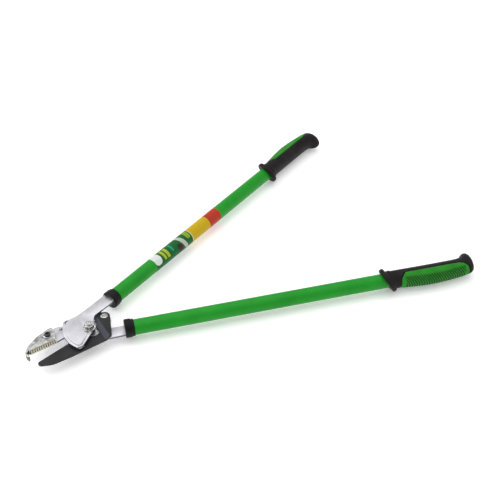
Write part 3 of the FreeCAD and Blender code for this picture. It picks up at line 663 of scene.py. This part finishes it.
def handle_axes(side):
    """Matrix from a straight handle (X along it from the collar's end, Z up) to the frame."""
    points = np.array([v.co for v in nodes[side + "_tube"].data.vertices])
    middle = (points.max(axis=0) + points.min(axis=0)) / 2
    along = np.linalg.svd(points - points.mean(axis=0), full_matrices=False)[2][0]
    along[2] = 0.0
    along /= np.linalg.norm(along)
    head = np.array(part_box(HEAD_NODE)[0])
    if np.dot(middle - head, along) < 0:
        along = -along
    reach = (points - middle) @ along
    start = middle + along * (reach.min() + TUBE_SEAT)
    turn = Matrix.Rotation(math.atan2(along[1], along[0]), 4, "Z")
    return Matrix.Translation(Vector(start)) @ turn


HANDLES = {side: handle_axes(side) for side in ("lower", "upper")}
for side, axes in HANDLES.items():
    print(side, "handle starts at", [round(x, 4) for x in axes.translation])

# %% [markdown]
# ## The form of the grip
#
# The grip is a rounded body that bellies out on the outer side, runs straight on the inner side, and
# ends in a butt that hooks inwards so that the hand can't slip off. Such a body is drawn as a ring of
# sixteen points that is extruded from station to station and resized at each. A Subdivision Surface
# then smooths it. The outer side is +Y here, and the lower handle gets a mirrored copy.

# %% Loft a ring through stations
GRIP_REACH = 154.5
BELLY = 21.5
HALF_HEIGHT = 16.5
INNER = 13.7
HOOK = 26.0
RING_SHRINK = 0.975


def grip_stations():
    """Rows of (along, reach inwards, reach outwards, half height), in millimetres."""
    end = GRIP_REACH
    return [
        (-2.0, INNER + 0.6, INNER + 0.6, INNER + 1.0), (8.0, INNER + 0.4, INNER + 1.0, HALF_HEIGHT - 1.0),
        (22.0, INNER, INNER + 2.4, HALF_HEIGHT - 0.4), (45.0, INNER, BELLY - 2.6, HALF_HEIGHT),
        (72.0, INNER, BELLY, HALF_HEIGHT), (100.0, INNER, BELLY - 1.6, HALF_HEIGHT),
        (end - 30.0, INNER, BELLY - 4.4, HALF_HEIGHT - 0.3),
        (end - 20.0, INNER + 1.6, 16.0, HALF_HEIGHT - 0.6),
        (end - 15.0, HOOK - 4.0, 15.6, HALF_HEIGHT - 0.6), (end - 9.0, HOOK, 15.0, HALF_HEIGHT - 1.0),
        (end - 3.0, HOOK - 2.0, 12.5, HALF_HEIGHT - 3.5), (end, HOOK - 9.0, 7.0, HALF_HEIGHT - 9.0)]


def lofted(name, stations, skin):
    """A closed body through stations, drawn in by a skin, with its ring smoothed."""
    bpy.ops.object.select_all(action="DESELECT")
    bpy.ops.mesh.primitive_circle_add(vertices=16, radius=1.0, fill_type="NOTHING", enter_editmode=True,
                                      location=(0.0, 0.0, 0.0))
    piece = bpy.context.object
    piece.name = name
    bpy.ops.object.mode_set(mode="OBJECT")
    for vertex in piece.data.vertices:
        vertex.co = Vector((0.0, vertex.co.x, vertex.co.y))
    bpy.ops.object.mode_set(mode="EDIT")
    bpy.ops.mesh.select_all(action="SELECT")
    at, wide, tall, middle = 0.0, 1.0, 1.0, 0.0
    for index, (along, inward, outward, half_height) in enumerate(stations):
        new_wide = ((inward + outward) / 2 - skin) / RING_SHRINK * MM
        new_tall = (half_height - skin) / RING_SHRINK * MM
        new_middle = (outward - inward) / 2 * MM
        if index:
            bpy.ops.mesh.extrude_region_move()
        bpy.ops.transform.resize(value=(1.0, new_wide / wide, new_tall / tall),
                                 center_override=(at, middle, 0.0))
        bpy.ops.transform.translate(value=(along * MM - at, new_middle - middle, 0.0))
        at, wide, tall, middle = along * MM, new_wide, new_tall, new_middle
    bpy.ops.mesh.edge_face_add()
    bpy.ops.mesh.select_all(action="SELECT")
    bpy.ops.mesh.region_to_loop()
    bpy.ops.mesh.edge_face_add()
    bpy.ops.mesh.select_all(action="SELECT")
    bpy.ops.mesh.normals_make_consistent(inside=False)
    bpy.ops.object.mode_set(mode="OBJECT")
    smooth = piece.modifiers.new("smooth", "SUBSURF")
    smooth.levels = 3
    smooth.render_levels = 3
    apply_all(piece)
    print(name, "spans", [round(x, 4) for x in piece.dimensions])
    return piece


# %% [markdown]
# ## Cutting, joining and rounding
#
# A boolean sinks a seat for the soft panel, and the guard is simply joined to the body,
# overlapping it. Both leave hard creases, while a moulded part has small fillets everywhere. A fine
# voxel remesh fuses what overlaps, and a light smoothing rounds every crease at once.

# %% Boolean and remesh helpers
def joined(piece, extra):
    """Put an overlapping closed body into a piece; the remesh makes them one."""
    bpy.ops.object.select_all(action="DESELECT")
    extra.select_set(True)
    piece.select_set(True)
    bpy.context.view_layer.objects.active = piece
    bpy.ops.object.join()
    piece.select_set(False)
    return piece


def fused_skin(piece, voxel, rounds):
    """Remesh a piece to one even skin, and smooth it."""
    remesh = piece.modifiers.new("skin", "REMESH")
    remesh.mode = "VOXEL"
    remesh.voxel_size = voxel
    remesh.use_smooth_shade = True
    relax = piece.modifiers.new("relax", "SMOOTH")
    relax.factor = 0.5
    relax.iterations = rounds
    apply_all(piece)
    return piece


PANEL_START = 20.5
PANEL_END = 143.0
PANEL_LOW = 3.5


def panel_window(name, grow):
    """A tall block with the panel's outline in plan, grown by a border, that cuts the panel out."""
    outline = [(PANEL_START + 9.0, PANEL_LOW), (PANEL_END - 18.0, PANEL_LOW),
               (PANEL_END - 9.0, PANEL_LOW + 2.2), (PANEL_END - 3.0, PANEL_LOW + 6.0),
               (PANEL_END, PANEL_LOW + 12.0), (PANEL_END, 40.0),
               (PANEL_START + 2.5, 40.0), (PANEL_START, PANEL_LOW + 9.0)]
    centre = Vector(((PANEL_START + PANEL_END) / 2, 20.0))
    bpy.ops.object.select_all(action="DESELECT")
    bpy.ops.mesh.primitive_circle_add(vertices=len(outline), radius=1.0, fill_type="NGON")
    piece = bpy.context.object
    piece.name = name
    for vertex, (along, across) in zip(piece.data.vertices, outline):
        corner = Vector((along, across))
        corner += (corner - centre).normalized() * grow
        vertex.co = (corner.x * MM, corner.y * MM, -40.0 * MM)
    bpy.ops.object.mode_set(mode="EDIT")
    bpy.ops.mesh.select_all(action="SELECT")
    bpy.ops.mesh.extrude_region_move(TRANSFORM_OT_translate={"value": (0.0, 0.0, 80.0 * MM)})
    bpy.ops.mesh.select_all(action="SELECT")
    bpy.ops.mesh.normals_make_consistent(inside=False)
    bpy.ops.object.mode_set(mode="OBJECT")
    piece.select_set(False)
    return piece


print("panel runs from", PANEL_START, "to", PANEL_END, "mm")

# %% [markdown]
# ## The soft panel
#
# The green panel fills the outer half of the grip. It is cut from the same form as the body, so its
# surface carries on the body's curve. About two dozen ribs cross it, and they die out before the
# border and along a smooth strip at the top. A rib is little over a millimetre high, and easiest as a
# wave: every point of the fine mesh is moved along its normal.

# %% Model the panel
PANEL_SKIN = 2.2
PANEL_VOXEL = 0.62
BORDER = 1.6
RIB_PITCH = 4.3
RIB_HEIGHT = 1.3
RIB_CURL = 0.03
RIBS_FROM = 26.0
RIBS_TO = 137.0


def faded(value, low, high):
    """0 below low, 1 above high, and smooth between them."""
    share = np.clip((value - low) / (high - low), 0.0, 1.0)
    return share * share * (3.0 - 2.0 * share)


def ribbed(piece):
    """Push the outer skin in and out along its normals to form the ribs."""
    count = len(piece.data.vertices)
    place = np.zeros(count * 3)
    normal = np.zeros(count * 3)
    piece.data.vertices.foreach_get("co", place)
    piece.data.vertex_normals.foreach_get("vector", normal)
    place = place.reshape(-1, 3)
    normal = normal.reshape(-1, 3)
    along, _, up = (place / MM).T
    lean = along + RIB_CURL * np.clip(up + 6.0, 0.0, None) ** 2
    outer = faded(normal[:, 1], 0.02, 0.25)
    ends = faded(along, RIBS_FROM, RIBS_FROM + 4.0) * (1.0 - faded(along, RIBS_TO - 4.0, RIBS_TO))
    strip = 1.0 - faded(up, 11.5, 14.0)
    wave = 0.5 - 0.5 * np.cos(2.0 * math.pi * (lean - RIBS_FROM) / RIB_PITCH)
    mask = outer * ends * strip
    height = RIB_HEIGHT * (wave ** 0.7 - 0.7) * mask
    place += normal * (height * MM)[:, None]
    piece.data.vertices.foreach_set("co", place.ravel())
    piece.data.update()
    # painted shade: the troughs between the ribs get a large hollow number, which darkens the rubber
    store_hollow(piece, (1.0 - wave) * mask)


panel = lofted("panel_blank", grip_stations(), 0.0)
combined(panel, panel_window("panel_outline", 0.0), "INTERSECT")
combined(panel, lofted("panel_inside", grip_stations(), PANEL_SKIN), "DIFFERENCE")
fused_skin(panel, PANEL_VOXEL * MM, 4)
ribbed(panel)
print("panel has", len(panel.data.polygons), "faces")

# %% [markdown]
# ## The hard core of the grip
#
# The core is the same form with a seat sunk into it, a little wider than the panel, so that a narrow
# groove is left round the panel. At the front a round guard keeps the hand off the tube. Its top and
# its inner side lean towards the head, and it blends into the body through a short funnel.

# %% Model the core
GUARD_RADIUS = 21.9
GUARD_THICK = 8.0
GUARD_LEAN = 28.0
GUARD_SWEEP = 10.0
FUNNEL_REACH = 15.0
CORE_VOXEL = 0.8


def leaning_disc(name, radius, far_radius, depth, along):
    """A cone or disc across the handle, leaning with the guard, with its rims bevelled."""
    bpy.ops.object.select_all(action="DESELECT")
    bpy.ops.mesh.primitive_cone_add(vertices=64, radius1=radius * MM, radius2=far_radius * MM,
                                    depth=depth * MM, location=(0.0, 0.0, 0.0), enter_editmode=True)
    piece = bpy.context.object
    piece.name = name
    bpy.ops.mesh.bevel(offset=min(3.0, depth / 3.0) * MM, segments=3, profile=0.5)
    bpy.ops.object.mode_set(mode="OBJECT")
    sweep = Matrix.Rotation(math.radians(-GUARD_SWEEP), 4, "Z")
    lean = Matrix.Rotation(math.radians(-GUARD_LEAN), 4, "Y")
    piece.data.transform(Matrix.Translation((along * MM, 0.0, 0.0)) @ sweep @ lean @ ALONG_X)
    piece.select_set(False)
    return piece


core = lofted("core_blank", grip_stations(), 0.0)
seat = lofted("seat_blank", grip_stations(), -0.6)
combined(seat, panel_window("seat_outline", BORDER), "INTERSECT")
combined(seat, lofted("seat_inside", grip_stations(), PANEL_SKIN - 0.2), "DIFFERENCE")
combined(core, seat, "DIFFERENCE")
joined(core, leaning_disc("guard", GUARD_RADIUS, GUARD_RADIUS, GUARD_THICK, 1.5))
joined(core, leaning_disc("funnel", GUARD_RADIUS - 2.5, INNER + 0.5, FUNNEL_REACH, FUNNEL_REACH / 2))
fused_skin(core, CORE_VOXEL * MM, 5)
print("core has", len(core.data.polygons), "faces")

# %% [markdown]
# ## Bore for the tube
#
# The tube goes deep into the grip, so the core gets a bore of the tube's own radius, after the
# remesh, to keep it round. It stops short of the butt, which is solid.

# %% Bore the core
GUARD_STATION = {"lower": 422.5, "upper": 429.0}
TUBE_REACH = 558.0
BORE_RADIUS = 12.55
DRILL_LENGTH = 170.0
bore_end = TUBE_REACH - min(GUARD_STATION.values()) + 0.5
bpy.ops.object.select_all(action="DESELECT")
bpy.ops.mesh.primitive_cylinder_add(vertices=64, radius=BORE_RADIUS * MM, depth=DRILL_LENGTH * MM)
drill = bpy.context.object
drill.name = "drill"
drill.data.transform(Matrix.Translation(((bore_end - DRILL_LENGTH / 2) * MM, 0.0, 0.0)) @ ALONG_X)
combined(core, drill, "DIFFERENCE")
print("core has", len(core.data.polygons), "faces after boring")

# %% [markdown]
# ## Fit a grip to each handle
#
# The upper handle takes the grip as it is, and the lower one a mirrored copy, because the green
# panels face away from each other. Mirroring turns a mesh inside out, so its normals are worked out
# again. Each copy has its own mesh, carried to its place by the handle's matrix. A grip is pushed on
# by hand, so each one sits rolled a few degrees about its tube.

# %% Place the grips
OUTER_SIDE = {"lower": -1.0, "upper": 1.0}
GRIP_ROLL = {"lower": 4.0, "upper": 10.0}


def fitted(pattern, name, side):
    """A copy of a straight grip piece, mirrored if need be, laid on its handle."""
    piece = bpy.data.objects.new(name, pattern.data.copy())
    bpy.context.scene.collection.objects.link(piece)
    flip = Matrix.Scale(OUTER_SIDE[side], 4, (0.0, 1.0, 0.0))
    roll = Matrix.Rotation(math.radians(GRIP_ROLL[side]), 4, "X")
    shift = Matrix.Translation((GUARD_STATION[side] * MM, 0.0, 0.0))
    piece.data.transform(HANDLES[side] @ shift @ roll @ flip)
    tidy_mesh(piece, 0.000001, 0.0)
    return piece


for side in ("lower", "upper"):
    grip = fitted(core, side + "_grip_core", side)
    smooth_by_angle(grip, 50.0)
    wear(grip, side + "_grip")
    soft = fitted(panel, side + "_soft_panel", side)
    smooth_by_angle(soft, 70.0)
    wear(soft, side + "_grip_panel")
bpy.data.objects.remove(core)
bpy.data.objects.remove(panel)

# %% [markdown]
# ## The band as a sleeve
#
# The band is an open sleeve a tenth of a millimetre thick. A cylinder without caps gives the sleeve,
# and a UV map is written from its own shape, before Solidify gives it its thickness.

# %% Model the band
LABEL_START = 91.0
LABEL_LENGTH = 177.0
LABEL_RADIUS = 12.62
FILM_THICK = 0.1
UPPERMOST = 125.0
bpy.ops.object.select_all(action="DESELECT")
bpy.ops.mesh.primitive_cylinder_add(vertices=96, radius=LABEL_RADIUS * MM, depth=LABEL_LENGTH * MM,
                                    end_fill_type="NOTHING")
band = bpy.context.object
band.name = "label_band"
band_map = band.data.uv_layers[0]
band_map.name = "band"
for face in band.data.polygons:
    side_angle = math.atan2(face.center.y, -face.center.x)
    face_share = 0.5 + ((90.0 - math.degrees(side_angle) - UPPERMOST + 180.0) % 360.0 - 180.0) / 360.0
    for index in face.loop_indices:
        corner = band.data.vertices[band.data.loops[index].vertex_index].co
        turned = math.atan2(corner.y, -corner.x)
        step = (turned - side_angle + math.pi) % (2.0 * math.pi) - math.pi
        share = face_share - math.degrees(step) / 360.0
        band_map.data[index].uv = (share, corner.z / (LABEL_LENGTH * MM) + 0.5)
wall = band.modifiers.new("film", "SOLIDIFY")
wall.thickness = FILM_THICK * MM
wall.offset = -1.0
apply_all(band)
band_place = Matrix.Translation(((LABEL_START + LABEL_LENGTH / 2) * MM, 0.0, 0.0))
band.data.transform(HANDLES["upper"] @ band_place @ ALONG_X)
smooth_by_angle(band, 50.0)
wear(band, "tube_label")

# %% [markdown]
# ## Finishes for the rest
#
# What is left of the frame keeps its own shape: the tubes, pins and parts inside the head.
# Each takes the finish of its slot.

# %% Paint what is left
stood_for = {node for piece in bpy.data.objects for node in piece.get("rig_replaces", [])}
for name, node in nodes.items():
    if name in stood_for:
        continue
    node.data.materials.clear()
    node.data.materials.append(FINISHES[SLOT_OF[name]])
    print(name, "is finished in", FINISHES[SLOT_OF[name]].name)

# %% [markdown]
# ## Finishing up
#
# At the end nothing is left selected.

# %% Deselect everything
bpy.ops.object.select_all(action="DESELECT")
